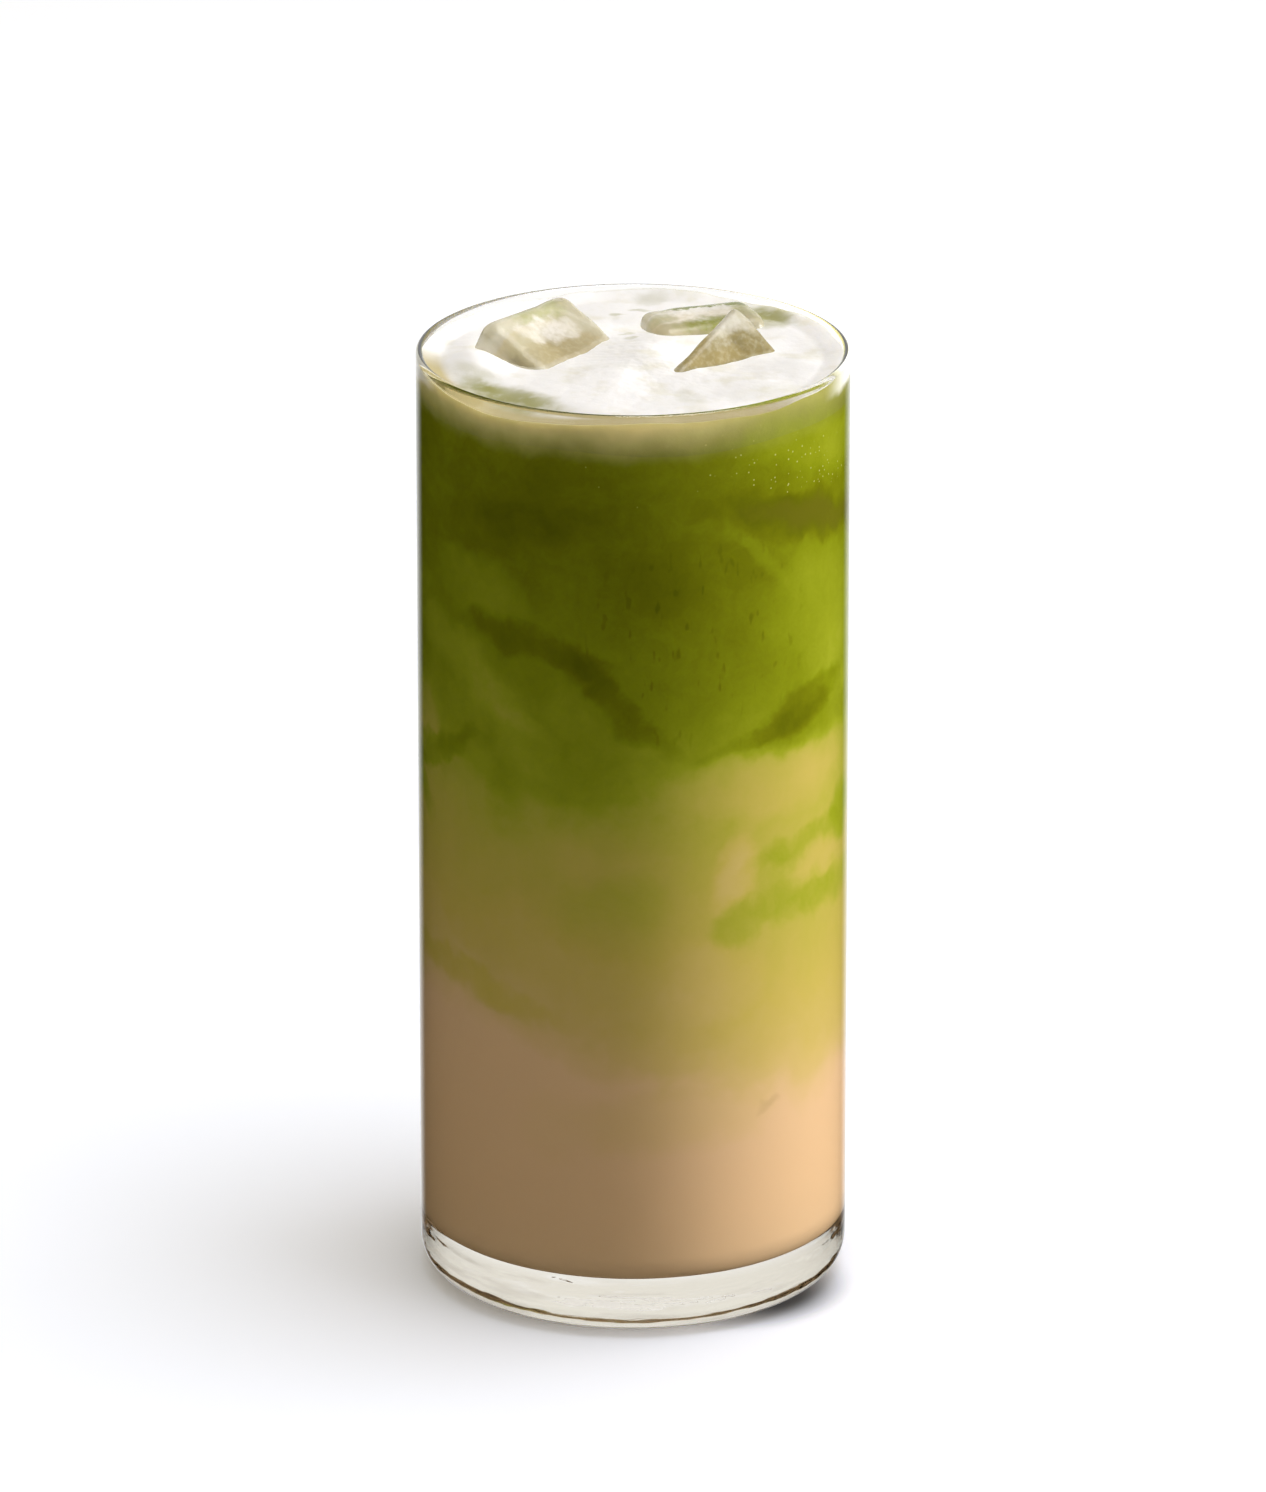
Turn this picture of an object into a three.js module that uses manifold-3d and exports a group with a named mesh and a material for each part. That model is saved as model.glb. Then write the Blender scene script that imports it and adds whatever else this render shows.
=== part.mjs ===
// Iced matcha latte in a tall straight glass: warm milk at the bottom, a swirled
// blend above it, green matcha, a cap of milk foam, and three ice cubes that stand
// out of the foam.
//
// Millimetres, +Z up. The origin is the centre of the flat underside of the glass,
// +X points to the right of the view that shows the drink best and +Y away from it.

import * as THREE from 'three';
import { RoundedBoxGeometry } from 'three/addons/geometries/RoundedBoxGeometry.js';
import { mergeVertices } from 'three/addons/utils/BufferGeometryUtils.js';
import Module from 'manifold-3d';

// Driving dimensions of the glass
const GLASS_RADIUS = 35;
const GLASS_HEIGHT = 158;
const WALL = 2.3;
const FOOT_ROUNDING = 5.7;
const BASE_THICKNESS = 9;
const INNER_ROUNDING = 4.5;

// The gap that neighbouring pieces keep to each other
const GAP = 0.3;

// Mean heights of the boundaries inside the drink, and of the foam's surface
const MILK_TOP = 45.2;
const BLEND_TOP = 91;
const MATCHA_TOP = 151.2;
const FOAM_TOP = 156;

// How finely the round pieces are divided
const SEGMENTS = 52;
const LAYER_RINGS = 5;
const FOAM_RINGS = 7;
const CORNER_STEPS = 4;
const FOOT_STEPS = 5;
const LIP_STEPS = 6;

// The smallest distance at which two points are still two points
const WELD = 1e-4;

// The three ice cubes: sizes along their own edges, the rounding that melting gave
// them, how far their faces bulge or sink, and where and how they lie.
const ICE_LEFT = {
  size: [20.5, 20, 16],
  rounding: 1.8,
  melt: 0.35,
  centre: [-13.7, 6.7, 149.8],
  along: [0.611, 0.792, 0],
  across: [-0.686, 0.529, 0.5],
};
const ICE_RIGHT = {
  size: [18, 16, 8.5],
  rounding: 1.1,
  melt: 0.2,
  centre: [14.81, 1.87, 151.11],
  along: [-0.567, -0.725, -0.388],
  across: [0.648, -0.099, -0.758],
};
const ICE_BACK = {
  size: [19, 10.5, 12],
  rounding: 2,
  melt: 0.3,
  centre: [11.2, 18.2, 152.1],
  along: [0.927, 0.375, 0],
  across: [-0.373, 0.923, 0.087],
};

// The right cube has lost two corners: a point and the outward normal of each break
const BREAKS = [
  { point: [16.9, 6.3, 162.9], normal: [-0.75, 0.26, 0.61] },
  { point: [17.3, 4.25, 159.9], normal: [0.458, -0.41, 0.79] },
];
const BREAK_TOOL = 60;

const drinkRadius = GLASS_RADIUS - WALL - GAP;

// The outlines: arcs and the turned bodies

function arc(radius, height, size, from, to, steps) {
  const points = [];
  for (let i = 0; i <= steps; i += 1) {
    const angle = THREE.MathUtils.degToRad(from + ((to - from) * i) / steps);
    points.push(new THREE.Vector2(radius + size * Math.cos(angle), height + size * Math.sin(angle)));
  }
  return points;
}

function turned(outline) {
  const geometry = new THREE.LatheGeometry(outline, SEGMENTS);
  geometry.rotateX(Math.PI / 2);
  return geometry;
}

function glassOutline() {
  const lip = WALL / 2;
  const innerRadius = GLASS_RADIUS - WALL;
  return [
    new THREE.Vector2(0, 0),
    ...arc(GLASS_RADIUS - FOOT_ROUNDING, FOOT_ROUNDING, FOOT_ROUNDING, -90, 0, FOOT_STEPS),
    ...arc(GLASS_RADIUS - lip, GLASS_HEIGHT - lip, lip, 0, 180, LIP_STEPS),
    ...arc(innerRadius - INNER_ROUNDING, BASE_THICKNESS + INNER_ROUNDING, INNER_ROUNDING, 0, -90, CORNER_STEPS),
    new THREE.Vector2(0, BASE_THICKNESS),
  ];
}

// The surfaces between the layers, as heights over the place (x, y)

function hill(x, y, centreX, centreY, width) {
  const squared = ((x - centreX) ** 2 + (y - centreY) ** 2) / width ** 2;
  return Math.exp(-squared);
}

function drinkFloor(x, y) {
  const rounding = INNER_ROUNDING - GAP;
  const beyond = Math.max(Math.hypot(x, y) - (drinkRadius - rounding), 0);
  const drop = Math.sqrt(Math.max(rounding ** 2 - beyond ** 2, 0));
  return BASE_THICKNESS + GAP + rounding - drop;
}

function milkTop(x, y) {
  const step = -7.2 * Math.tanh((x + 0.15 * y) / 13);
  return MILK_TOP + step + 0.9 * Math.sin(x / 5.5 + y / 9);
}

function blendTop(x, y) {
  const tilt = 0.12 * x;
  return BLEND_TOP + tilt + 2.4 * Math.sin(x / 8 + y / 12 + 1) * Math.cos(y / 10);
}

function matchaTop(x, y) {
  const wave = 0.6 * Math.sin(x / 9 + 0.6) * Math.cos(y / 11);
  return MATCHA_TOP + wave - 0.7 * hill(x, y, -22, -22, 12);
}

function foamTop(x, y) {
  const waves = 0.35 * Math.sin(x / 5.6 + 0.8) * Math.cos(y / 5) + 0.15 * Math.sin((x + y) / 2.9);
  const mounds = 0.9 * hill(x, y, -26, 6, 5) + 0.6 * hill(x, y, 27, -6, 7) + 0.5 * hill(x, y, 0, 2, 6);
  const hollow = 1.3 * hill(x, y, -20, -22, 8);
  return FOAM_TOP + waves + mounds - hollow;
}

// A layer of the drink between two of these surfaces

function ringRadii(count) {
  return Array.from({ length: count + 1 }, (_, i) => (drinkRadius * i) / count);
}

function cornerRadii() {
  const rounding = INNER_ROUNDING - GAP;
  const flat = drinkRadius - rounding;
  const inside = Array.from({ length: LAYER_RINGS }, (_, i) => (flat * i) / LAYER_RINGS);
  return [...inside, ...arc(flat, 0, rounding, -90, 0, CORNER_STEPS).map((point) => point.x)];
}

function layer(bottomRadii, bottom, topRadii, top) {
  const lower = bottomRadii.map((radius) => new THREE.Vector2(radius, 0));
  const upper = topRadii.map((radius) => new THREE.Vector2(radius, 1)).reverse();
  const geometry = turned([...lower, ...upper]);
  const position = geometry.attributes.position;
  for (let i = 0; i < position.count; i += 1) {
    const x = position.getX(i);
    const y = position.getY(i);
    const height = position.getZ(i) < 0.5 ? bottom(x, y) + GAP / 2 : top(x, y) - GAP / 2;
    position.setZ(i, height);
  }
  return geometry;
}

// An ice cube, with faces that melting has made uneven, in its own place

function iceCube(cube, growth) {
  const [length, width, height] = cube.size;
  const geometry = new RoundedBoxGeometry(length, width, height, 2, cube.rounding);
  const position = geometry.attributes.position;
  const point = new THREE.Vector3();
  for (let i = 0; i < position.count; i += 1) {
    point.fromBufferAttribute(position, i);
    const along = (2 * point.x) / length;
    const across = (2 * point.y) / width;
    const up = (2 * point.z) / height;
    const wave = Math.sin(2.1 * along + 0.7) * Math.cos(1.9 * across) + Math.sin(1.7 * up + across);
    const swell = 1 + (cube.melt * (wave - 1)) / length;
    point.multiplyScalar(swell);
    point.x *= 1 + (2 * growth) / length;
    point.y *= 1 + (2 * growth) / width;
    point.z *= 1 + (2 * growth) / height;
    position.setXYZ(i, point.x, point.y, point.z);
  }
  const first = new THREE.Vector3(...cube.along).normalize();
  const third = new THREE.Vector3().crossVectors(first, new THREE.Vector3(...cube.across)).normalize();
  const second = new THREE.Vector3().crossVectors(third, first);
  const place = new THREE.Matrix4().makeBasis(first, second, third);
  place.setPosition(...cube.centre);
  geometry.applyMatrix4(place);
  return geometry;
}

// Joining and cutting

const wasm = await Module();
wasm.setup();

function toSolid(geometry) {
  const bare = geometry.clone();
  bare.deleteAttribute('normal');
  bare.deleteAttribute('uv');
  const welded = mergeVertices(bare, WELD);
  const corners = welded.index.array;
  const kept = [];
  for (let i = 0; i < corners.length; i += 3) {
    const [a, b, c] = [corners[i], corners[i + 1], corners[i + 2]];
    if (a !== b && b !== c && c !== a) kept.push(a, b, c);
  }
  const vertProperties = new Float32Array(welded.attributes.position.array);
  return new wasm.Manifold(new wasm.Mesh({ numProp: 3, vertProperties, triVerts: new Uint32Array(kept) }));
}

function toGeometry(solid) {
  const mesh = solid.getMesh();
  const geometry = new THREE.BufferGeometry();
  geometry.setAttribute('position', new THREE.BufferAttribute(mesh.vertProperties, mesh.numProp));
  geometry.setIndex(new THREE.BufferAttribute(mesh.triVerts, 1));
  geometry.computeVertexNormals();
  return geometry;
}

// A big block whose one face lies on a break, shifted outwards by the growth
function breakTool({ point, normal }, growth) {
  const outward = new THREE.Vector3(...normal).normalize();
  const tool = new THREE.BoxGeometry(BREAK_TOOL, BREAK_TOOL, BREAK_TOOL);
  const turn = new THREE.Quaternion().setFromUnitVectors(new THREE.Vector3(0, 0, 1), outward);
  tool.applyQuaternion(turn);
  const centre = new THREE.Vector3(...point).addScaledVector(outward, BREAK_TOOL / 2 + growth);
  tool.translate(centre.x, centre.y, centre.z);
  return toSolid(tool);
}

function brokenCube(cube, growth) {
  return BREAKS.reduce(
    (solid, broken) => solid.subtract(breakTool(broken, growth)),
    toSolid(iceCube(cube, growth)),
  );
}

function iceSolids(growth) {
  return [
    toSolid(iceCube(ICE_LEFT, growth)),
    brokenCube(ICE_RIGHT, growth),
    toSolid(iceCube(ICE_BACK, growth)),
  ];
}

function cutRoundIce(geometry) {
  const cut = iceSolids(GAP).reduce((solid, ice) => solid.subtract(ice), toSolid(geometry));
  return toGeometry(cut);
}

// Materials

const clearGlass = new THREE.MeshStandardMaterial({
  color: 0xf4f6f2, roughness: 0.03, metalness: 0, transparent: true, opacity: 0.3,
});
const milk = new THREE.MeshStandardMaterial({ color: 0xe2bb90, roughness: 0.45, metalness: 0 });
const blend = new THREE.MeshStandardMaterial({ color: 0xb9a648, roughness: 0.45, metalness: 0 });
const matcha = new THREE.MeshStandardMaterial({ color: 0x76800f, roughness: 0.45, metalness: 0 });
const foam = new THREE.MeshStandardMaterial({ color: 0xf8f5f0, roughness: 0.7, metalness: 0 });
const ice = new THREE.MeshStandardMaterial({
  color: 0xdfe2cf, roughness: 0.08, metalness: 0, transparent: true, opacity: 0.5,
});

// The drink

const latte = new THREE.Group();

function add(name, geometry, material) {
  const mesh = new THREE.Mesh(geometry, material);
  mesh.name = name;
  latte.add(mesh);
}

const plainRings = ringRadii(LAYER_RINGS);
const foamRings = ringRadii(FOAM_RINGS);
const floorUnderMilk = (x, y) => drinkFloor(x, y) - GAP / 2;
const openFoamTop = (x, y) => foamTop(x, y) + GAP / 2;
const matchaBody = layer(plainRings, blendTop, plainRings, matchaTop);
const foamBody = layer(plainRings, matchaTop, foamRings, openFoamTop);
const [leftCube, rightCube, backCube] = iceSolids(0);

add('glass', turned(glassOutline()), clearGlass);
add('milk_layer', layer(cornerRadii(), floorUnderMilk, plainRings, milkTop), milk);
add('blend_layer', layer(plainRings, milkTop, plainRings, blendTop), blend);
add('matcha_layer', cutRoundIce(matchaBody), matcha);
add('milk_foam', cutRoundIce(foamBody), foam);
add('ice_left', toGeometry(leftCube), ice);
add('ice_right', toGeometry(rightCube), ice);
add('ice_back', toGeometry(backCube), ice);

export default latte;
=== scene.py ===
"""Iced matcha latte in a tall straight glass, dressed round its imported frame.

The glass holds warm milk, a swirled blend, green matcha and a cap of foam, and three
melting ice cubes stand out of the foam. Everything is in metres, in the frame's axes:
+Z up, +X to the right of the view that shows the swirls best, +Y away from it.
"""

import logging
import math
from collections.abc import Callable
from dataclasses import dataclass, field
from enum import Enum
from functools import cached_property

import bmesh
import bpy
from mathutils import Matrix, Vector, noise


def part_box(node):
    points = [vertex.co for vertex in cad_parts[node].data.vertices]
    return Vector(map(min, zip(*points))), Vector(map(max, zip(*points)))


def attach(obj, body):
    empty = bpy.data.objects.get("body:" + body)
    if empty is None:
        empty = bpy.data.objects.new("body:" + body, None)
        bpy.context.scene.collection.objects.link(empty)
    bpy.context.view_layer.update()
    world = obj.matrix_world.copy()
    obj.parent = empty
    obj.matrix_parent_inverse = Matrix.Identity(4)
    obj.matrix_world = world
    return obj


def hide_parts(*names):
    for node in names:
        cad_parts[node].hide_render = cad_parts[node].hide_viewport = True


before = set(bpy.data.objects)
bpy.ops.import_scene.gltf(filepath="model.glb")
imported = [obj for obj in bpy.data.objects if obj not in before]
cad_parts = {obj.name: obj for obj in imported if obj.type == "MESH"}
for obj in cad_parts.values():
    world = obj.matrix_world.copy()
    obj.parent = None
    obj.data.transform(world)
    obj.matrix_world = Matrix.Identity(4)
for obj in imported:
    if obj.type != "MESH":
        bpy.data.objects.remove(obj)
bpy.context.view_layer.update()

log = logging.getLogger("latte")

MM = 0.001
BODY = "root"
PER_METRE = 1000.0
WELD = 1e-7
SHARP = math.radians(48.0)
FOAM_LEVEL = 156.0

Colour = tuple[float, float, float, float]
Triple = tuple[float, float, float]
Outline = list[tuple[float, float]]
Surface = Callable[[float, float], float]
Value = float | bpy.types.NodeSocket


def rgb(red: float, green: float, blue: float) -> Colour:
    """A colour with full alpha, from linear red, green and blue."""
    return (red, green, blue, 1.0)


BLACK = rgb(0.0, 0.0, 0.0)


# Node writing


class NodeWriter:
    """Writes nodes into one tree and joins their sockets."""

    def __init__(self, tree: bpy.types.NodeTree) -> None:
        """Starts writing into a tree.

        Args:
            tree: the material's or group's node tree.
        """
        self.tree = tree

    def add(self, kind: str, inputs: dict | None = None, **settings: object) -> bpy.types.Node:
        """Adds one shader node.

        Args:
            kind: the node's type without its ShaderNode prefix.
            inputs: values or sockets for its inputs, by name or number.
            settings: the node's own properties.

        Returns:
            The new node.
        """
        node = self.tree.nodes.new("ShaderNode" + kind)
        for name, value in settings.items():
            setattr(node, name, value)
        for key, value in (inputs or {}).items():
            self.feed(node.inputs[key], value)
        return node

    def feed(self, socket: bpy.types.NodeSocket, value: object) -> None:
        """Links a socket to another, or gives it a constant.

        Args:
            socket: the input socket.
            value: another socket or a constant.
        """
        if isinstance(value, bpy.types.NodeSocket):
            self.tree.links.new(value, socket)
        else:
            socket.default_value = value

    def calc(self, operation: str, *values: Value, clamp: bool = False) -> bpy.types.NodeSocket:
        """The result of a Math node on up to three values."""
        inputs = dict(enumerate(values))
        return self.add("Math", inputs, operation=operation, use_clamp=clamp).outputs[0]

    def vector(self, operation: str, *values: object) -> bpy.types.NodeSocket:
        """The vector result of a Vector Math node."""
        inputs = dict(enumerate(values))
        return self.add("VectorMath", inputs, operation=operation).outputs["Vector"]

    def scaled(self, vector: bpy.types.NodeSocket, scale: float) -> bpy.types.NodeSocket:
        """A vector times a number."""
        inputs = {"Vector": vector, "Scale": scale}
        return self.add("VectorMath", inputs, operation="SCALE").outputs["Vector"]

    def spread(
        self, value: Value, low: float, high: float, start: float = 0.0, end: float = 1.0
    ) -> bpy.types.NodeSocket:
        """Maps a value smoothly from low..high to start..end, held at both ends.

        Args:
            value: the value.
            low: where its range starts.
            high: where its range ends.
            start: the result at the low end.
            end: the result at the high end.

        Returns:
            The mapped value.
        """
        inputs = {
            "Value": value, "From Min": low, "From Max": high, "To Min": start, "To Max": end,
        }
        return self.add("MapRange", inputs, interpolation_type="SMOOTHSTEP").outputs["Result"]

    def mix(self, share: Value, first: object, second: object) -> bpy.types.NodeSocket:
        """Mixes two colours by a share from 0 to 1.

        Args:
            share: how much of the second colour shows.
            first: the first colour.
            second: the second colour.

        Returns:
            The mixed colour.
        """
        node = self.add("Mix", {0: share}, data_type="RGBA")
        self.feed(node.inputs[6], first)
        self.feed(node.inputs[7], second)
        return node.outputs[2]

    def ramp(self, value: Value, stops: list[tuple[float, Colour]]) -> bpy.types.NodeSocket:
        """A colour ramp.

        Args:
            value: where on the ramp to read, from 0 to 1.
            stops: positions and colours, in order.

        Returns:
            The colour socket.
        """
        node = self.add("ValToRGB", {"Fac": value})
        elements = node.color_ramp.elements
        while len(elements) < len(stops):
            elements.new(1.0)
        for element, (position, colour) in zip(elements, stops):
            element.position = position
            element.color = colour
        return node.outputs["Color"]

    def split(self, vector: object) -> bpy.types.NodeOutputs:
        """The X, Y and Z of a vector."""
        return self.add("SeparateXYZ", {0: vector}).outputs

    def noise(
        self, place: object, scale: float, detail: float, output: str = "Fac"
    ) -> bpy.types.NodeSocket:
        """A Noise Texture over a place, with its scale in features for each unit."""
        inputs = {"Vector": place, "Scale": scale, "Detail": detail, "Roughness": 0.5}
        return self.add("TexNoise", inputs).outputs[output]

    def pushed(
        self, place: object, scale: float, detail: float, amount: float
    ) -> bpy.types.NodeSocket:
        """Pushes a place about with a noise.

        Args:
            place: the place.
            scale: the noise's features for each unit.
            detail: the noise's detail.
            amount: the width of the range that it is pushed over.

        Returns:
            The pushed place.
        """
        push = self.noise(place, scale, detail, "Color")
        centred = self.vector("SUBTRACT", push, (0.5, 0.5, 0.5))
        return self.vector("ADD", place, self.scaled(centred, amount))

    def millimetres(self) -> bpy.types.NodeSocket:
        """The place on the object, in millimetres."""
        coordinates = self.add("TexCoord").outputs["Object"]
        return self.scaled(coordinates, PER_METRE)

    def radius(self, place: object) -> bpy.types.NodeSocket:
        """How far a place is from the Z axis."""
        flat = self.vector("MULTIPLY", place, (1.0, 1.0, 0.0))
        return self.add("VectorMath", {0: flat}, operation="LENGTH").outputs["Value"]


@dataclass(frozen=True)
class Port:
    """A named socket of a node group."""

    name: str
    kind: str
    default: object = None


def new_group(name: str, inputs: list[Port], outputs: list[Port]) -> bpy.types.NodeTree:
    """Makes an empty shader node group with its sockets.

    Args:
        name: the group's name.
        inputs: its input sockets.
        outputs: its output sockets.

    Returns:
        The group's tree.
    """
    tree = bpy.data.node_groups.new(name, "ShaderNodeTree")
    for ports, side in ((inputs, "INPUT"), (outputs, "OUTPUT")):
        for port in ports:
            socket = tree.interface.new_socket(
                name=port.name, in_out=side, socket_type="NodeSocket" + port.kind
            )
            if port.default is not None:
                socket.default_value = port.default
    return tree


def use_group(write: NodeWriter, tree: bpy.types.NodeTree, **inputs: object) -> bpy.types.Node:
    """Places a node group in a tree and feeds its inputs by name.

    Args:
        write: the writer of the tree that it goes into.
        tree: the group's own tree.
        inputs: values or sockets for its inputs, by name.

    Returns:
        The group's node.
    """
    node = write.add("Group")
    node.node_tree = tree
    for name, value in inputs.items():
        write.feed(node.inputs[name], value)
    return node


def new_material(name: str) -> tuple[bpy.types.Material, NodeWriter]:
    """Makes an empty material and the writer of its tree.

    Args:
        name: the material's name.

    Returns:
        The material and its writer.
    """
    material = bpy.data.materials.new(name)
    material.use_nodes = True
    material.node_tree.nodes.clear()
    return material, NodeWriter(material.node_tree)


def let_lamps_through(write: NodeWriter, body: bpy.types.Node, shadow: Colour) -> None:
    """Ends a clear material: rays to the lamps pass it, tinted instead of bent.

    Args:
        write: the writer of the material's tree.
        body: the shader that all other rays see.
        shadow: the tint of what passes.
    """
    passing = write.add("BsdfTransparent", {"Color": shadow})
    path = write.add("LightPath").outputs["Is Shadow Ray"]
    both = write.add("MixShader", {0: path, 1: body.outputs[0], 2: passing.outputs[0]})
    write.add("OutputMaterial", {"Surface": both.outputs[0]})


# Colours of the drink


class Tone(Enum):
    """What a wisp in the drink carries."""

    MATCHA = "matcha"
    BROWN = "brown"


@dataclass(frozen=True)
class Wisp:
    """A soft streak or patch in the drink, at the wall of the glass.

    Angles are in degrees and lengths in millimetres. The azimuth is 0 at the front and
    grows to the right, the tilt lifts the right end, and the bend is how far the ends
    turn up, in half widths. The strength is the share of matcha that the wisp adds, or
    takes away where it is negative.
    """

    azimuth: float
    height: float
    length: float
    width: float
    strength: float
    tilt: float = 0.0
    bend: float = 0.0
    tone: Tone = Tone.MATCHA

    def behind(self) -> "Wisp":
        """The like wisp on the far side of the glass, a little shifted."""
        return Wisp(
            180.0 - 1.15 * self.azimuth, self.height + 4.0 * math.sin(self.azimuth),
            1.2 * self.length, self.width, self.strength, -self.tilt, self.bend, self.tone,
        )


WISPS = [
    # Upper matcha
    Wisp(-26, 147, 16, 6, 0.08),
    Wisp(-40, 136.5, 26, 6.5, 0.10, tilt=14),
    Wisp(-28, 138.5, 13, 4.5, 0.10, tilt=10),
    Wisp(56, 136.8, 27, 5.2, 0.27, tilt=-13),
    Wisp(60, 136.2, 22, 3.6, 0.38, tilt=-13, tone=Tone.BROWN),
    Wisp(62, 148, 24, 6, -0.16, tilt=-12),
    Wisp(34, 134, 14, 2.2, -0.10, tilt=-50),
    Wisp(66, 120, 20, 15, -0.13),
    Wisp(74, 106, 12, 12, -0.08),
    Wisp(-8, 130, 24, 14, 0.06),
    # Paler patches at the left
    Wisp(-45, 125, 12, 7, -0.11, tilt=-8),
    Wisp(-82, 121, 8, 5, -0.09),
    Wisp(-54, 112.5, 20, 5.4, -0.13, tilt=-24, bend=-0.9),
    Wisp(-75, 99, 8, 9, -0.16),
    Wisp(-33, 101, 9, 6, -0.10, tilt=-40),
    # Dark streaks
    Wisp(-30, 117.9, 17, 3.4, 0.17, tilt=-8, bend=-0.5),
    Wisp(-13.5, 114.4, 7, 3.6, 0.12, tilt=-28),
    Wisp(-2.5, 107.8, 15, 3.1, 0.17, tilt=-47, bend=0.3),
    Wisp(-70, 93.8, 18, 3.2, 0.22, tilt=26),
    Wisp(56, 104.4, 13, 4.4, 0.22, tilt=14),
    Wisp(34, 113, 22, 18, 0.07),
    Wisp(20, 130, 18, 10, 0.07),
    Wisp(38, 101.2, 14, 2.2, 0.09, tilt=12),
    # The swirled middle
    Wisp(-24, 97, 24, 8, 0.10, tilt=-4),
    Wisp(-11, 89, 9, 9, 0.05),
    Wisp(-38, 90, 4, 9, 0.05, tilt=10),
    Wisp(60, 100.5, 22, 5.5, 0.14),
    Wisp(42, 92.5, 27, 7, -0.14, tilt=-3),
    Wisp(62, 94.5, 14, 5, -0.05),
    Wisp(78, 82, 8, 6, 0.20, tilt=40),
    Wisp(54, 80.4, 14, 3.2, 0.13, tilt=5),
    Wisp(40, 77, 7, 4.5, 0.08),
    Wisp(62, 71.3, 19, 4.2, 0.16, tilt=-5),
    Wisp(63, 75.9, 10, 3.0, -0.09),
    Wisp(29.5, 79.2, 10, 4.8, -0.18, tilt=72),
    Wisp(30.5, 70.2, 7, 3.4, 0.15, tilt=20),
    Wisp(-6, 72.5, 12, 10, 0.07),
    Wisp(-9, 83, 10, 7, -0.06),
    Wisp(22, 61, 12, 8, -0.07),
    # The olive edge over the milk at the left
    Wisp(-52, 57.6, 26, 3.2, 0.13, tilt=-9, bend=-0.8),
    Wisp(-24, 36.5, 7, 8, 0.035),
    Wisp(12, 37.5, 22, 7, 0.11),
    Wisp(40, 36.5, 3.2, 1.2, 0.16, tone=Tone.BROWN),
]

# The share of matcha over the height in millimetres, away from the wisps
MATCHA_SHARES = [
    (0, 0.0), (41, 0.0), (44.5, 0.10), (48, 0.24), (54, 0.33), (62, 0.38), (73, 0.46),
    (83, 0.51), (92, 0.60), (99, 0.72), (106, 0.80), (116, 0.87), (132, 0.91), (143, 0.97),
    (149, 0.94),
]
SHARE_SPAN = 160.0

# The drink's colour for each share of matcha, from pure milk to dark matcha
MOST_MATCHA = 1.2
BLEND_COLOURS = [
    (0.00, rgb(0.530, 0.366, 0.216)),
    (0.20, rgb(0.470, 0.345, 0.150)),
    (0.40, rgb(0.400, 0.320, 0.078)),
    (0.55, rgb(0.325, 0.300, 0.045)),
    (0.70, rgb(0.235, 0.260, 0.014)),
    (0.85, rgb(0.174, 0.198, 0.006)),
    (1.00, rgb(0.129, 0.139, 0.0035)),
    (1.20, rgb(0.092, 0.098, 0.0025)),
]


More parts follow.
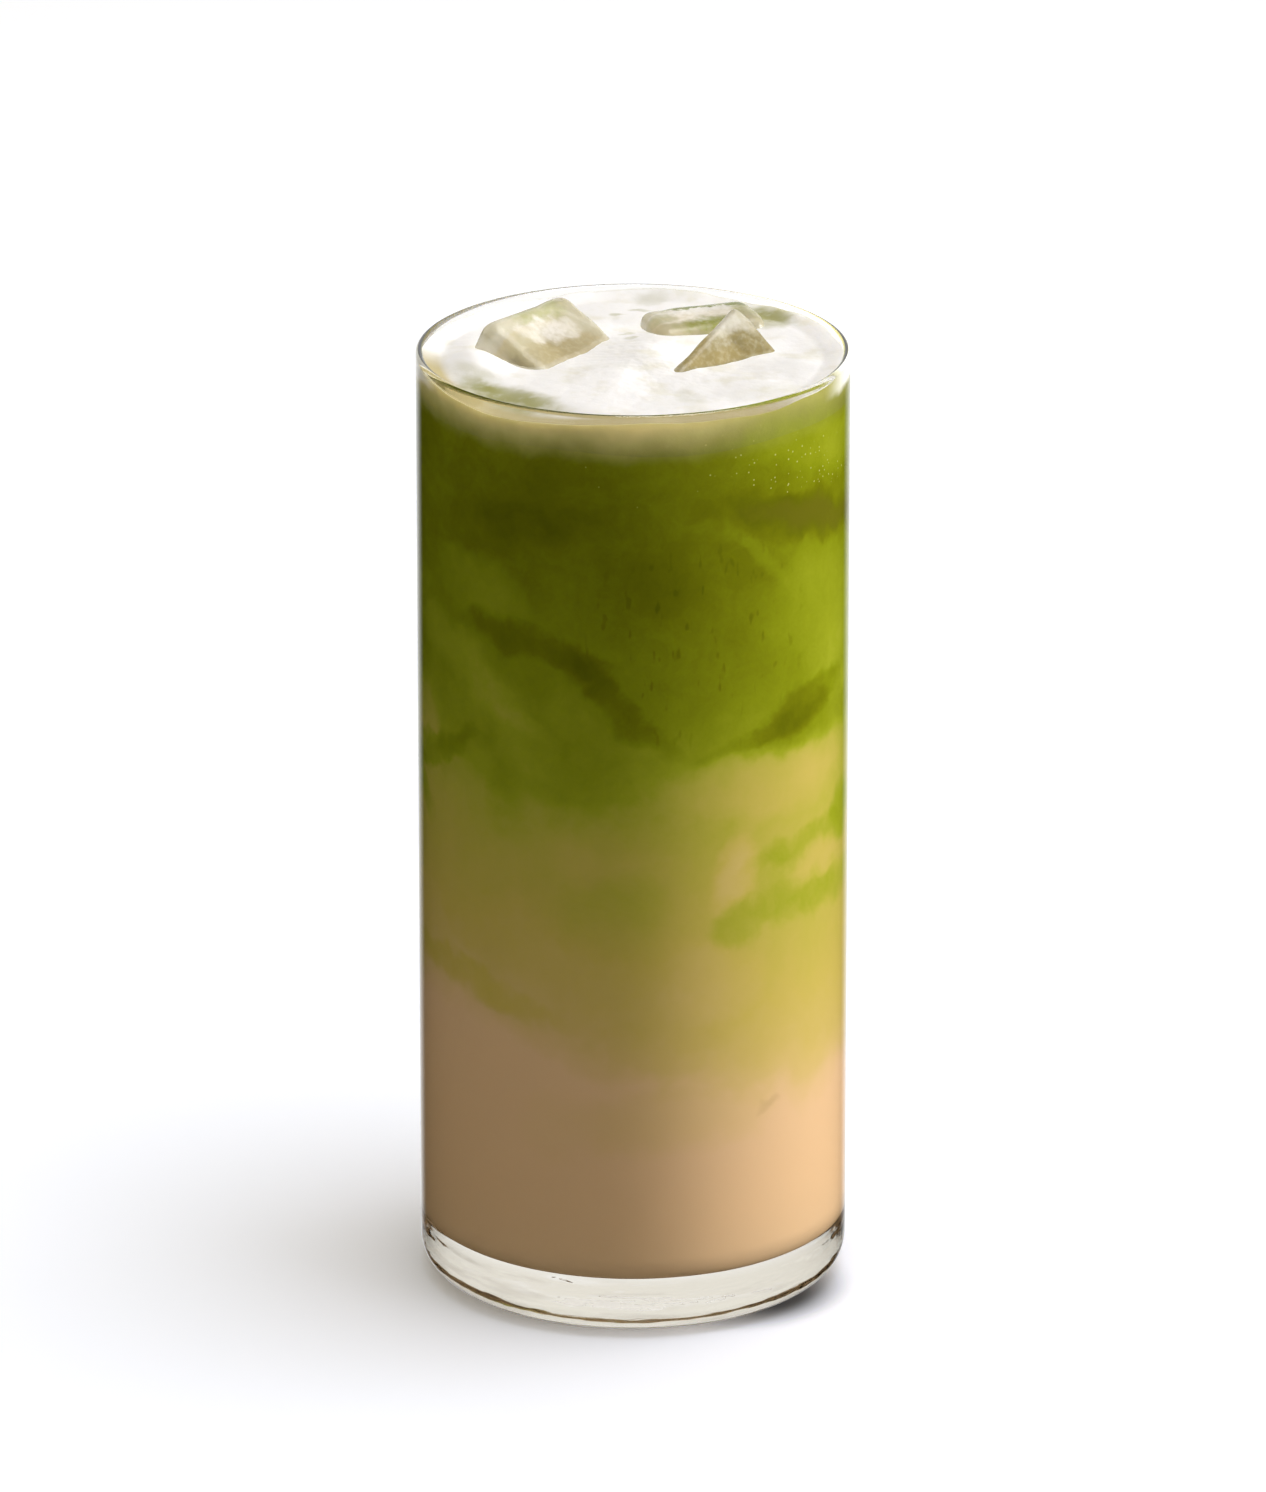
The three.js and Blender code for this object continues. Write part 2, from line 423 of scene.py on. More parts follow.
@dataclass
class DrinkColours:
    """The colours of the drink, the same field for each of its layers.

    Lengths are in millimetres, and scales are in features for each millimetre.
    """

    coarse_scale: float = 0.045
    fine_scale: float = 0.17
    clouds: tuple[tuple[float, float], ...] = ((0.11, 0.22), (0.45, 0.13), (2.2, 0.10))
    speck_region: Wisp = Wisp(18, 119, 26, 22, 1.0)
    speck_share: float = 0.17
    bubble_crowd: Wisp = Wisp(56, 145, 22, 6.5, 1.0, tilt=-12)
    bubble_belt: Wisp = Wisp(20, 148, 50, 10, 1.0)
    wall_radius: float = 33.0
    wisp_depth: float = 16.0
    milk_step: float = 7.2
    step_width: float = 11.0
    mix_low: float = 55.0
    mix_high: float = 95.0
    foam_low: float = 149.0
    foam_high: float = 156.0
    foam_deeper: float = 9.0
    foam_fade: float = 1.6
    foam_thinner: float = 0.78
    white_low: float = 153.6
    white_high: float = 155.2
    brown: Colour = rgb(0.125, 0.105, 0.012)
    foam_tint: Colour = rgb(0.80, 0.68, 0.33)
    foam_white: Colour = rgb(0.82, 0.81, 0.80)
    bubble: Colour = rgb(0.38, 0.38, 0.11)
    wisp: bpy.types.NodeTree = field(init=False)

    def __post_init__(self) -> None:
        """Builds the group that each wisp uses."""
        self.wisp = self.wisp_group()

    def wisp_group(self) -> bpy.types.NodeTree:
        """The group that gives one wisp's mask: 1 at its centre and 0 from its edge on.

        Returns:
            The group's tree.
        """
        tree = new_group(
            "wisp",
            [
                Port("Place", "Vector"), Port("Centre", "Vector"), Port("Turn", "Vector"),
                Port("Size", "Vector", (1.0, 1.0, 1.0)), Port("Bend", "Float", 0.0),
            ],
            [Port("Mask", "Float")],
        )
        write = NodeWriter(tree)
        source = tree.nodes.new("NodeGroupInput").outputs
        target = tree.nodes.new("NodeGroupOutput").inputs
        own = write.add(
            "Mapping",
            {
                "Vector": source["Place"], "Location": source["Centre"],
                "Rotation": source["Turn"], "Scale": source["Size"],
            },
            vector_type="TEXTURE",
        )
        along, deep, up = write.split(own.outputs[0])
        along_squared = write.calc("MULTIPLY", along, along)
        bent = write.calc("MULTIPLY", along_squared, source["Bend"])
        across = write.calc("SUBTRACT", up, bent)
        total = write.calc("MULTIPLY_ADD", across, across, along_squared)
        total = write.calc("MULTIPLY_ADD", deep, deep, total)
        write.feed(target["Mask"], write.spread(total, 0.0, 1.0, 1.0, 0.0))
        return tree

    def mask(self, write: NodeWriter, place: object, wisp: Wisp) -> bpy.types.NodeSocket:
        """The mask of one wisp.

        Args:
            write: the writer of the tree that it goes into.
            place: the place in millimetres.
            wisp: the wisp.

        Returns:
            The mask socket, from 0 to 1.
        """
        turn = math.radians(wisp.azimuth)
        centre = (self.wall_radius * math.sin(turn), -self.wall_radius * math.cos(turn), wisp.height)
        return use_group(
            write, self.wisp, Place=place, Centre=centre, Turn=(0.0, -math.radians(wisp.tilt), turn),
            Size=(wisp.length, self.wisp_depth, wisp.width), Bend=wisp.bend,
        ).outputs["Mask"]

    def warped(
        self, write: NodeWriter, place: object, coarse: float, fine: float
    ) -> bpy.types.NodeSocket:
        """A place pushed about by a coarse and a fine noise, in millimetres.

        Args:
            write: the writer of the tree that it goes into.
            place: the place in millimetres.
            coarse: how far the coarse noise pushes.
            fine: how far the fine noise pushes.

        Returns:
            The pushed place.
        """
        for scale, amount in ((self.coarse_scale, coarse), (self.fine_scale, fine)):
            place = write.pushed(place, scale, 3.0, amount)
        return place

    def base_share(self, write: NodeWriter, place: object) -> bpy.types.NodeSocket:
        """The share of matcha by height, with the milk's edge lower at the right.

        Args:
            write: the writer of the tree that it goes into.
            place: the place in millimetres.

        Returns:
            The share, from 0 to 1.
        """
        x, y, z = write.split(self.warped(write, place, 18.0, 7.0))
        step = write.calc("MULTIPLY_ADD", y, 0.15, x)
        step = write.calc("TANH", write.calc("DIVIDE", step, self.step_width))
        weight = write.spread(z, self.mix_low, self.mix_high, self.milk_step, 0.0)
        height = write.calc("MULTIPLY_ADD", step, weight, z)
        position = write.calc("DIVIDE", height, SHARE_SPAN)
        stops = [(h / SHARE_SPAN, rgb(share, share, share)) for h, share in MATCHA_SHARES]
        return write.ramp(position, stops)

    def share_field(self, write: NodeWriter, place: object) -> tuple[object, object]:
        """The share of matcha and the share of brown at a place.

        Args:
            write: the writer of the tree that it goes into.
            place: the place in millimetres.

        Returns:
            Both shares.
        """
        share = self.base_share(write, place)
        near = self.warped(write, place, 5.0, 7.0)
        brown: object = 0.0
        for wisp in WISPS + [w.behind() for w in WISPS[::3]]:
            mask = self.mask(write, near, wisp)
            if wisp.tone is Tone.BROWN:
                brown = write.calc("MULTIPLY_ADD", mask, wisp.strength, brown)
            else:
                share = write.calc("MULTIPLY_ADD", mask, wisp.strength, share)
        for scale, amount in self.clouds:
            cloud = write.noise(near, scale, 2.0)
            centred = write.calc("SUBTRACT", cloud, 0.5)
            share = write.calc("MULTIPLY_ADD", centred, write.calc("MULTIPLY", amount, share), share)
        return share, brown

    def specks(self, write: NodeWriter, place: object, share: object) -> bpy.types.NodeSocket:
        """Adds the short dark dashes of undissolved tea to the share of matcha.

        Args:
            write: the writer of the tree that it goes into.
            place: the place in millimetres.
            share: the share of matcha so far.

        Returns:
            The share with the dashes.
        """
        region = self.mask(write, place, self.speck_region)
        stretched = write.vector("MULTIPLY", place, (1.0, 1.0, 0.38))
        dash = write.spread(write.noise(stretched, 0.75, 1.0), 0.64, 0.74)
        dashes = write.calc("MULTIPLY", dash, region)
        return write.calc("MULTIPLY_ADD", dashes, self.speck_share, share)

    def bubbles(self, write: NodeWriter, place: object) -> bpy.types.NodeSocket:
        """The mask of the pale bubbles that cling to the wall near the top.

        Args:
            write: the writer of the tree that it goes into.
            place: the place in millimetres.

        Returns:
            The mask, from 0 to 1.
        """
        inputs = {"Vector": place, "Scale": 1.5, "Randomness": 1.0}
        cells = write.add("TexVoronoi", inputs, feature="F1")
        dot = write.spread(cells.outputs["Distance"], 0.14, 0.28, 1.0, 0.0)
        chance = write.add("SeparateColor", {0: cells.outputs["Color"]}).outputs[0]
        crowd = self.mask(write, place, self.bubble_crowd)
        few = self.mask(write, place, self.bubble_belt)
        wanted = write.calc("MULTIPLY_ADD", few, 0.05, write.calc("MULTIPLY", crowd, 0.30))
        chosen = write.spread(write.calc("SUBTRACT", wanted, chance), 0.0, 0.05)
        return write.calc("MULTIPLY", dot, chosen)

    def foamed(self, write: NodeWriter, place: object, colour: object) -> bpy.types.NodeSocket:
        """Fades a colour into the foam: deeper behind, thinner at the right front.

        Args:
            write: the writer of the tree that it goes into.
            place: the place in millimetres.
            colour: the drink's colour there.

        Returns:
            The colour with the foam at the top.
        """
        _, _, height = write.split(self.warped(write, place, 3.0, 3.0))
        x, y, _ = write.split(place)
        behind = write.spread(y, 4.0, 16.0)
        low = write.calc("MULTIPLY_ADD", behind, -self.foam_deeper, self.foam_low)
        above = write.calc("SUBTRACT", height, low)
        deep = write.calc("SUBTRACT", self.foam_high, low)
        share = write.calc("DIVIDE", above, deep, clamp=True)
        foamy = write.calc("POWER", share, self.foam_fade)
        right, front = write.spread(x, -4.0, 25.0), write.spread(y, 0.0, 10.0, 1.0, 0.0)
        thin = write.calc("MULTIPLY", right, front)
        kept = write.calc("MULTIPLY_ADD", thin, -self.foam_thinner, 1.0)
        colour = write.mix(write.calc("MULTIPLY", foamy, kept), colour, self.foam_tint)
        sides = write.spread(y, -16.0, -6.0)
        top = write.spread(height, self.white_low, self.white_high)
        return write.mix(write.calc("MULTIPLY", top, sides), colour, self.foam_white)

    def group(self) -> bpy.types.NodeTree:
        """The group that gives the drink's colour at a place.

        Returns:
            The group's tree.
        """
        tree = new_group("drink_colour", [Port("Place", "Vector")], [Port("Colour", "Color")])
        write = NodeWriter(tree)
        place = tree.nodes.new("NodeGroupInput").outputs["Place"]
        target = tree.nodes.new("NodeGroupOutput").inputs
        share, brown = self.share_field(write, place)
        share = self.specks(write, place, share)
        position = write.calc("DIVIDE", share, MOST_MATCHA, clamp=True)
        stops = [(amount / MOST_MATCHA, colour) for amount, colour in BLEND_COLOURS]
        colour = write.ramp(position, stops)
        colour = write.mix(brown, colour, self.brown)
        colour = write.mix(self.bubbles(write, place), colour, self.bubble)
        write.feed(target["Colour"], self.foamed(write, place, colour))
        return tree


# Finishes


@dataclass(frozen=True)
class GlassFinish:
    """Clear glass, with a thick base that is a little wavy, warm and streaky.

    The wave is the depth in millimetres of the base's uneven surface, the two scales are
    features for each millimetre, and the base ends at its top, in millimetres.
    """

    name: str = "clear_glass"
    index: float = 1.5
    colour: Colour = rgb(0.975, 0.96, 0.915)
    shadow: Colour = rgb(0.70, 0.70, 0.69)
    thick: Colour = rgb(0.85, 0.815, 0.72)
    streak: Colour = rgb(0.64, 0.60, 0.52)
    wave: float = 0.20
    wave_scale: Triple = (0.10, 0.10, 0.32)
    streak_scale: Triple = (0.06, 0.06, 0.42)
    streak_low: float = 0.50
    streak_high: float = 0.68
    base_top: float = 11.0
    base_fade: float = 2.0

    def material(self) -> bpy.types.Material:
        """Builds the material.

        Returns:
            The material.
        """
        material, write = new_material(self.name)
        place = write.millimetres()
        _, _, height = write.split(place)
        base = write.spread(height, self.base_top - self.base_fade, self.base_top, 1.0, 0.0)
        flow = write.noise(write.vector("MULTIPLY", place, self.streak_scale), 1.0, 3.0)
        streaky = write.spread(flow, self.streak_low, self.streak_high)
        thick = write.mix(streaky, self.thick, self.streak)
        ripple = write.noise(write.vector("MULTIPLY", place, self.wave_scale), 1.0, 2.0)
        swell = write.calc("MULTIPLY", ripple, base)
        bump = write.add("Bump", {"Height": swell, "Distance": self.wave * MM})
        body = write.add(
            "BsdfPrincipled",
            {
                "Base Color": write.mix(base, self.colour, thick), "Roughness": 0.0,
                "IOR": self.index, "Transmission Weight": 1.0, "Normal": bump.outputs["Normal"],
            },
        )
        let_lamps_through(write, body, self.shadow)
        return material


@dataclass(frozen=True)
class DrinkFinish:
    """Opaque drink, with the shared colours."""

    name: str
    colours: bpy.types.NodeTree
    roughness: float = 0.5
    inner: Colour = rgb(0.52, 0.47, 0.28)
    inner_radius: float = 29.5
    blur: float = 2.0

    def material(self) -> bpy.types.Material:
        """Builds the material: the shared colours at the wall, a paler mix inside.

        Returns:
            The material.
        """
        material, write = new_material(self.name)
        place = write.millimetres()
        colour = use_group(write, self.colours, Place=place).outputs["Colour"]
        skin = (self.inner_radius - self.blur, self.inner_radius)
        inside = write.spread(write.radius(place), *skin, 1.0, 0.0)
        colour = write.mix(inside, colour, self.inner)
        body = write.add(
            "BsdfPrincipled",
            {"Base Color": colour, "Roughness": self.roughness, "Specular IOR Level": 0.0},
        )
        write.add("OutputMaterial", {"Surface": body.outputs[0]})
        return material


@dataclass(frozen=True)
class Patch:
    """A level patch in the foam or in the ice: half sizes and place in millimetres.

    The turn is in degrees, and the strength is how fully its colour shows.
    """

    x: float
    y: float
    z: float
    length: float
    width: float
    turn: float
    colour: Colour
    strength: float = 1.0
    depth: float = 7.0

    def mask(
        self, write: NodeWriter, wisp: bpy.types.NodeTree, place: object
    ) -> bpy.types.NodeSocket:
        """The patch's mask at a place, from the group that wisps use."""
        return use_group(
            write, wisp, Place=place, Centre=(self.x, self.y, self.z), Bend=0.0,
            Turn=(0.0, 0.0, math.radians(self.turn)), Size=(self.length, self.width, self.depth),
        ).outputs["Mask"]


def stain(
    x: float, y: float, length: float, width: float, turn: float, strength: float
) -> Patch:
    """A stain of tea on the foam."""
    return Patch(x, y, FOAM_LEVEL, length, width, turn, STAIN, strength, STAIN_DEPTH)


FROST = rgb(0.82, 0.80, 0.80)
KHAKI = rgb(0.36, 0.30, 0.17)
OLIVE = rgb(0.42, 0.42, 0.23)
TEA = rgb(0.16, 0.19, 0.03)
MOSS = rgb(0.24, 0.27, 0.06)
TOFFEE = rgb(0.255, 0.210, 0.095)
STAIN = rgb(0.24, 0.235, 0.03)
STAIN_DEPTH = 9.0

STAINS = [
    stain(-20, -19, 15, 6.5, -42, 0.84),
    stain(-25, -9, 9, 4, -48, 0.30),
    stain(12, 17, 10, 5, 22, 0.95),
    stain(22, 22, 6, 7, 0, 0.85),
    stain(12.0, 25.6, 8, 1.7, 20, 0.95),
    stain(3.5, 31, 5, 3, 0, 0.25),
    stain(9.4, -18, 3, 6, 8, 0.22),
    stain(-4, -4, 9, 3, 10, 0.08),
    stain(22, -16, 9, 4, 30, 0.10),
    stain(-2.8, 23.4, 2.0, 1.2, 0, 0.45),
    stain(0.5, 26.6, 2.2, 1.0, 0, 0.45),
    stain(-1.1, 13.3, 1.6, 1.0, 0, 0.4),
    stain(-0.5, 10.1, 1.8, 1.0, 0, 0.4),
]


@dataclass(frozen=True)
class FoamFinish:
    """Fine white milk foam, tinted where tea shows through, with painted shade mixed into the tea
    along its front-left rim. Sizes are in millimetres.
    """

    name: str
    drink: DrinkColours
    colours: bpy.types.NodeTree
    white: Colour = rgb(0.79, 0.79, 0.83)
    shaded: Colour = rgb(0.71, 0.70, 0.67)
    cavity: Colour = rgb(0.66, 0.58, 0.40)
    # Along the front-left rim: tea showing through, mixed with painted shade from the glass's rim
    brim_tea_and_shade: Colour = rgb(0.40, 0.34, 0.17)
    brim_share: float = 0.95
    brim_turn: float = 0.38
    brim_front: float = -19.0
    brim_back: float = -6.0
    brim_inner: float = 29.6
    brim_outer: float = 31.8
    wall_radius: float = 33.05
    flare_low: float = 151.2
    flare: float = 0.175
    roughness: float = 0.55
    top: float = 155.0

    def stained(self, write: NodeWriter, place: object) -> bpy.types.NodeSocket:
        """The foam's own colour with its stains of tea.

        Args:
            write: the writer of the tree that it goes into.
            place: the place in millimetres.

        Returns:
            The colour.
        """
        cloud = write.noise(place, 0.16, 4.0)
        colour = write.mix(write.spread(cloud, 0.50, 0.72), self.white, self.shaded)
        ragged = self.drink.warped(write, place, 0.0, 6.0)
        total: object = 0.0
        for patch in STAINS:
            mask = patch.mask(write, self.drink.wisp, ragged)
            total = write.calc("MULTIPLY_ADD", mask, patch.strength, total)
        patchy = write.spread(write.noise(place, 0.30, 3.0), 0.30, 0.55, 0.6, 1.0)
        share = write.calc("MULTIPLY", total, patchy, clamp=True)
        return write.mix(share, colour, STAIN)

    def material(self) -> bpy.types.Material:
        """Builds the material.

        Returns:
            The material.
        """
        material, write = new_material(self.name)
        place = write.millimetres()
        shared = use_group(write, self.colours, Place=place)
        x, y, height = write.split(place)
        radius = write.radius(place)
        low = write.spread(height, self.top - 1.4, self.top - 0.2, 1.0, 0.0)
        colour = write.mix(low, self.stained(write, place), self.cavity)
        # Tea and painted shade along the front-left rim of the foam
        facing = write.calc("MULTIPLY_ADD", x, self.brim_turn, y)
        front = write.spread(facing, self.brim_front, self.brim_back, self.brim_share, 0.0)
        rim = write.calc("MULTIPLY", write.spread(radius, self.brim_inner, self.brim_outer), front)
        colour = write.mix(rim, colour, self.brim_tea_and_shade)
        slant = write.calc("MAXIMUM", write.calc("SUBTRACT", height, self.flare_low), 0.0)
        upright = write.calc("MULTIPLY_ADD", slant, -self.flare, radius)
        wall = write.spread(upright, self.wall_radius - 0.15, self.wall_radius - 0.05)
        colour = write.mix(wall, colour, shared.outputs["Colour"])
        pores = write.noise(place, 2.2, 3.0)
        bump = write.add("Bump", {"Height": pores, "Distance": 0.05 * MM, "Strength": 0.6})
        body = write.add(
            "BsdfPrincipled",
            {
                "Base Color": colour, "Roughness": self.roughness, "Specular IOR Level": 0.15,
                "Subsurface Weight": 0.25, "Subsurface Radius": (0.003, 0.0027, 0.0022),
                "Subsurface Scale": 1.0, "Normal": bump.outputs["Normal"],
            },
        )
        write.add("OutputMaterial", {"Surface": body.outputs[0]})
        return material


ICE_PATCHES = [
    Patch(-16.3, 10.2, 161.3, 8, 4.8, 40, OLIVE, 0.85, 5.0),
    Patch(-10, 3.0, 156, 13, 5.5, 42, KHAKI, 0.5),
    Patch(-21, -4, 158, 9, 4, -40, KHAKI, 0.12),
    Patch(-14.0, 5.6, 158.8, 8, 3.2, 40, FROST, 0.60, 4.0),
    Patch(16, -1, 151.5, 18, 18, 0, TOFFEE, 1.9, 10.5),
    Patch(17, 4.2, 161.6, 5, 2.8, 30, FROST, 0.25, 2.2),
    Patch(12, 18, 158.2, 12, 3.6, 22, FROST, 0.8),
    Patch(20, 21.5, 158, 5, 5, 0, OLIVE, 1.0),
    Patch(12.5, 14.6, 157.8, 7.5, 2.8, 20, MOSS, 0.6, 4.0),
    Patch(4.5, 15.0, 157.8, 3.0, 1.6, 20, MOSS, 0.3, 4.0),
    Patch(12.0, 21.4, 158.3, 8.5, 1.5, 22, TEA, 1.3, 4.0),
]


@dataclass(frozen=True)
class IceFinish:
    """Cloudy melting ice: clear enough to bend light, with frost and tea caught in it."""

    name: str
    wisp: bpy.types.NodeTree
    base: Colour = rgb(0.52, 0.49, 0.38)
    index: float = 1.31
    clearness: float = 0.40
    roughness: float = 0.16
    ripple: float = 0.25
    ragged: float = 5.0
    fullness: float = 1.6
    shadow: Colour = rgb(0.88, 0.88, 0.84)

    def tinted(self, write: NodeWriter, place: object) -> bpy.types.NodeSocket:
        """The ice's colour with its patches.

        Args:
            write: the writer of the tree that it goes into.
            place: the place in millimetres.

        Returns:
            The colour.
        """
        ragged = write.pushed(place, 0.35, 4.0, self.ragged)
        streaks = write.spread(write.noise(place, 1.1, 3.0), 0.3, 0.6, 0.68, 1.0)
        colour: object = self.base
        for patch in ICE_PATCHES:
            mask = patch.mask(write, self.wisp, ragged)
            share = write.calc("MULTIPLY", mask, patch.strength * self.fullness, clamp=True)
            share = write.calc("MULTIPLY", share, streaks)
            colour = write.mix(share, colour, patch.colour)
        return colour

    def material(self) -> bpy.types.Material:
        """Builds the material.

        Returns:
            The material.
        """
        material, write = new_material(self.name)
        place = write.millimetres()
        swell = write.noise(place, 0.4, 2.0)
        bump = write.add("Bump", {"Height": swell, "Distance": self.ripple * MM})
        body = write.add(
            "BsdfPrincipled",
            {
                "Base Color": self.tinted(write, place), "Roughness": self.roughness,
                "IOR": self.index, "Transmission Weight": self.clearness,
                "Normal": bump.outputs["Normal"],
            },
        )
        let_lamps_through(write, body, self.shadow)
        return material


# Mesh work


def arc(
    radius: float, height: float, size: float, start: float, end: float, steps: int,
    end_size: float | None = None,
) -> Outline:
    """Points on an arc in the plane of an outline.

    Args:
        radius: the centre's distance from the axis.
        height: the centre's height.
        size: the arc's radius at its start.
        start: the first angle in degrees, 0 pointing outwards and 90 up.
        end: the last angle in degrees.
        steps: how many pieces the arc has.
        end_size: the arc's radius at its end, where it differs.

    Returns:
        The points, as (distance from the axis, height).
    """
    last = size if end_size is None else end_size
    points = []
    for i in range(steps + 1):
        share = i / steps
        turn = math.radians(start + (end - start) * share)
        reach = size + (last - size) * share
        points.append((radius + reach * math.cos(turn), height + reach * math.sin(turn)))
    return points


def spun(outline: Outline, steps: int) -> bmesh.types.BMesh:
    """Turns an outline round the Z axis into a closed body.

    Args:
        outline: its points, as (distance from the axis, height).
        steps: how finely it is divided round the axis.

    Returns:
        The closed body.
    """
    shape = bmesh.new()
    points = [shape.verts.new((radius, 0.0, height)) for radius, height in outline]
    edges = [shape.edges.new(pair) for pair in zip(points, points[1:])]
    bmesh.ops.spin(
        shape, geom=points + edges, cent=(0, 0, 0), axis=(0, 0, 1), angle=math.tau,
        steps=steps, use_merge=True,
    )
    bmesh.ops.remove_doubles(shape, verts=shape.verts, dist=WELD)
    bmesh.ops.recalc_face_normals(shape, faces=shape.faces)
    return shape


def smooth(mesh: bpy.types.Mesh) -> None:
    """Shades a mesh smooth, but for its rims and corners."""
    mesh.shade_smooth()
    mesh.set_sharp_from_angle(angle=SHARP)


def as_piece(
    shape: bmesh.types.BMesh, name: str, material: bpy.types.Material
) -> bpy.types.Object:
    """Makes a smooth object of a finished bmesh and frees the bmesh.

    Args:
        shape: the finished bmesh.
        name: the object's name.
        material: what it is dressed in.

    Returns:
        The new object.
    """
    mesh = bpy.data.meshes.new(name)
    shape.to_mesh(mesh)
    shape.free()
    mesh.materials.append(material)
    smooth(mesh)
    piece = bpy.data.objects.new(name, mesh)
    bpy.context.scene.collection.objects.link(piece)
    return piece


def settle(piece: bpy.types.Object) -> None:
    """Applies an object's modifiers to its mesh.

    Args:
        piece: the object.
    """
    graph = bpy.context.evaluated_depsgraph_get()
    mesh = bpy.data.meshes.new_from_object(piece.evaluated_get(graph))
    piece.modifiers.clear()
    old = piece.data
    piece.data = mesh
    bpy.data.meshes.remove(old)


def place_on_body(piece: bpy.types.Object, slot: str, *nodes: str) -> None:
    """Lets a piece ride on the part's body and stand for CAD nodes.

    Args:
        piece: the piece.
        slot: not used.
        nodes: the CAD nodes that it stands for.
    """
    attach(piece, BODY)
    if nodes:
        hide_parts(*nodes)
    log.info("%s: %d faces", piece.name, len(piece.data.polygons))


# The surfaces between the layers


@dataclass(frozen=True)
class Mound:
    """A soft mound, or a dip where its height is negative, in millimetres."""

    x: float
    y: float
    width: float
    height: float

    def over(self, x: float, y: float) -> float:
        """How much it raises a surface over a place."""
        away = (x - self.x) ** 2 + (y - self.y) ** 2
        return self.height * math.exp(-away / self.width ** 2)


MATCHA_DIP = Mound(-22.0, -22.0, 12.0, -0.7)
MOUNDS = (Mound(-26, 6, 5, 0.9), Mound(27, -6, 7, 0.6), Mound(0, 2, 6, 0.5), Mound(-20, -22, 8, -1.3))

# Foam banked up against the ice
BANKS = (Mound(5, 9, 6, 0.9), Mound(12, 8, 4, 0.5), Mound(-3, -6, 5, 0.4), Mound(-25, -2, 4.5, 1.5))


def raised(x: float, y: float, mounds: tuple[Mound, ...]) -> float:
    """How much mounds raise a surface over a place."""
    return sum(mound.over(x, y) for mound in mounds)


def milk_top(x: float, y: float) -> float:
    """Height in millimetres of the milk's surface under the blend."""
    step = -7.2 * math.tanh((x + 0.15 * y) / 13.0)
    return 45.2 + step + 0.9 * math.sin(x / 5.5 + y / 9.0)


def blend_top(x: float, y: float) -> float:
    """Height in millimetres of the blend's surface under the matcha."""
    return 91.0 + 0.12 * x + 2.4 * math.sin(x / 8.0 + y / 12.0 + 1.0) * math.cos(y / 10.0)


def matcha_top(x: float, y: float) -> float:
    """Height in millimetres of the matcha's surface under the foam."""
    wave = 0.6 * math.sin(x / 9.0 + 0.6) * math.cos(y / 11.0)
    return 151.2 + wave + MATCHA_DIP.over(x, y)


def foam_top(x: float, y: float) -> float:
    """Height in millimetres of the foam's surface, without its fine relief."""
    waves = 0.24 * math.sin(x / 5.6 + 0.8) * math.cos(y / 5.0) + 0.10 * math.sin((x + y) / 2.9)
    return FOAM_LEVEL + waves + raised(x, y, MOUNDS)


# The pieces


@dataclass
class Tumbler:
    """The tall straight glass. Sizes are in metres."""

    wall: float = 2.3 * MM
    foot_rounding: float = 5.7 * MM
    base: float = 9.0 * MM
    inner_rounding: float = 4.5 * MM
    lip: float = 0.6 * MM
    lip_depth: float = 6.0 * MM
    steps: int = 256
    foot_steps: int = 14
    lip_steps: int = 16
    corner_steps: int = 10

    @cached_property
    def radius(self) -> float:
        """The outer radius, from the frame."""
        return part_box("glass")[1].x

    @cached_property
    def height(self) -> float:
        """The height of the rim, from the frame."""
        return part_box("glass")[1].z

    @property
    def inner_radius(self) -> float:
        """The radius of the hollow."""
        return self.radius - self.wall

    def outline(self) -> Outline:
        """The glass's outline from the middle of its underside to the middle of its floor.

        Returns:
            Its points, as (distance from the axis, height).
        """
        foot = arc(
            self.radius - self.foot_rounding, self.foot_rounding, self.foot_rounding,
            -90, 0, self.foot_steps,
        )
        rim = arc(self.radius - self.lip, self.height - self.lip, self.lip, 0, 180, self.lip_steps)
        start = (self.inner_radius, self.height - self.lip_depth)
        corner = arc(
            self.inner_radius - self.inner_rounding, self.base + self.inner_rounding,
            self.inner_rounding, 0, -90, self.corner_steps,
        )
        return [(0.0, 0.0), *foot, *rim, start, *corner, (0.0, self.base)]

    def inner_at(self, height: float) -> float:
        """The radius of the hollow at a height, wider where the wall thins to the lip.

        Args:
            height: the height in metres.

        Returns:
            The radius there, in metres.
        """
        low = self.height - self.lip_depth
        share = (height - low) / (self.lip_depth - self.lip)
        return self.inner_radius + (self.wall - 2.0 * self.lip) * min(max(share, 0.0), 1.0)

    def build(self) -> bpy.types.Object:
        """Makes the glass and dresses it.

        Returns:
            The glass.
        """
        shape = spun(self.outline(), self.steps)
        piece = as_piece(shape, "highball_glass", GlassFinish().material())
        place_on_body(piece, "glass", "glass")
        return piece


